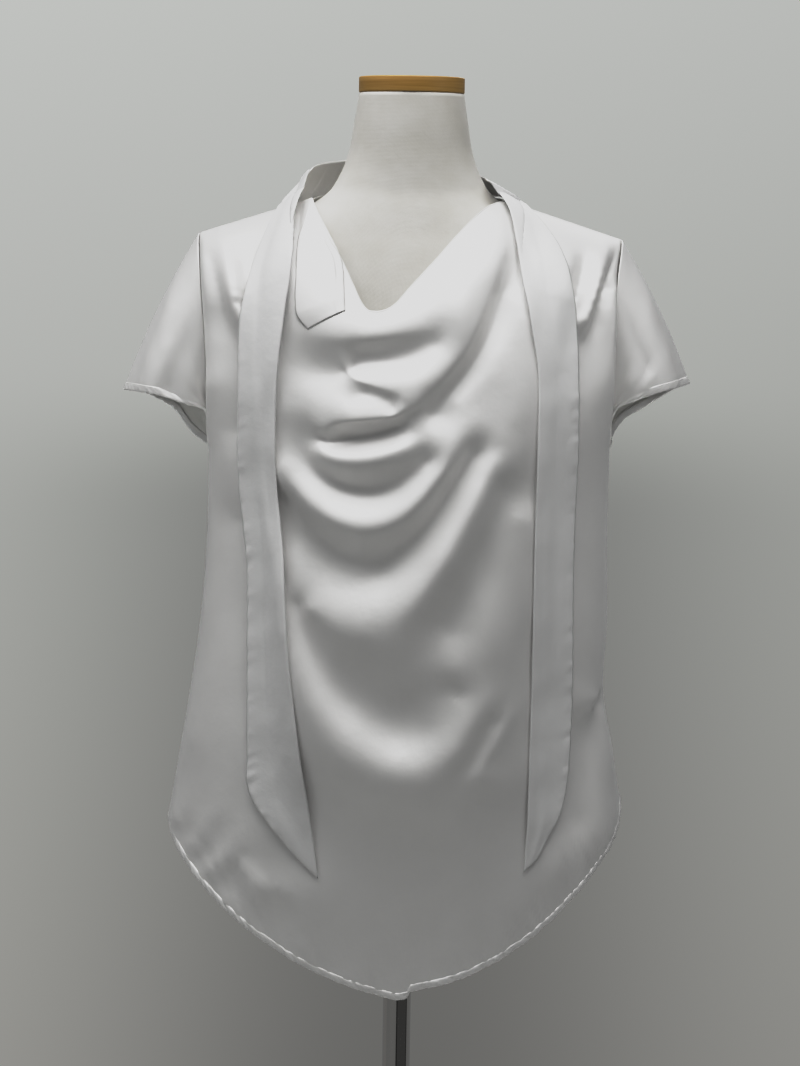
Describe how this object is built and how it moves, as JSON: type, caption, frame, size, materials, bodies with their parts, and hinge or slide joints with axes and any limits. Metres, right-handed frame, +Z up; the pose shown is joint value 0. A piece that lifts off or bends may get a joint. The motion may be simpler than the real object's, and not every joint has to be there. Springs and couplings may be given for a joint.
{
  "type": "blouse on dress form",
  "caption": "Short-sleeved satin blouse with a draped cowl front, long hanging neck ties and a curved hem, on a limbless dress form with a pole and a round base.",
  "frame": {"origin": "centre of the base's underside, on the floor under the pole", "axes": "+Z up, the blouse's front faces -Y, +X is towards the sleeve on the right of the front view"},
  "size_m": [0.535, 0.37, 1.518],
  "materials": {
    "satin": "soft white satin",
    "tie_satin": "soft white satin, folded double",
    "linen": "plain woven cover",
    "wood": "satin varnish",
    "chrome": "polished",
    "base_steel": "brushed"
  },
  "bodies": {
    "root": {"front": "satin", "front_facing": "satin", "back": "satin", "sleeve_left": "satin", "sleeve_right": "satin", "neck_band": "tie_satin", "tie_left": "tie_satin", "tie_right": "tie_satin", "torso": "linen", "neck_cap": "wood", "pole_collar": "chrome", "pole": "chrome", "base": "base_steel"}
  },
  "joints": []
}
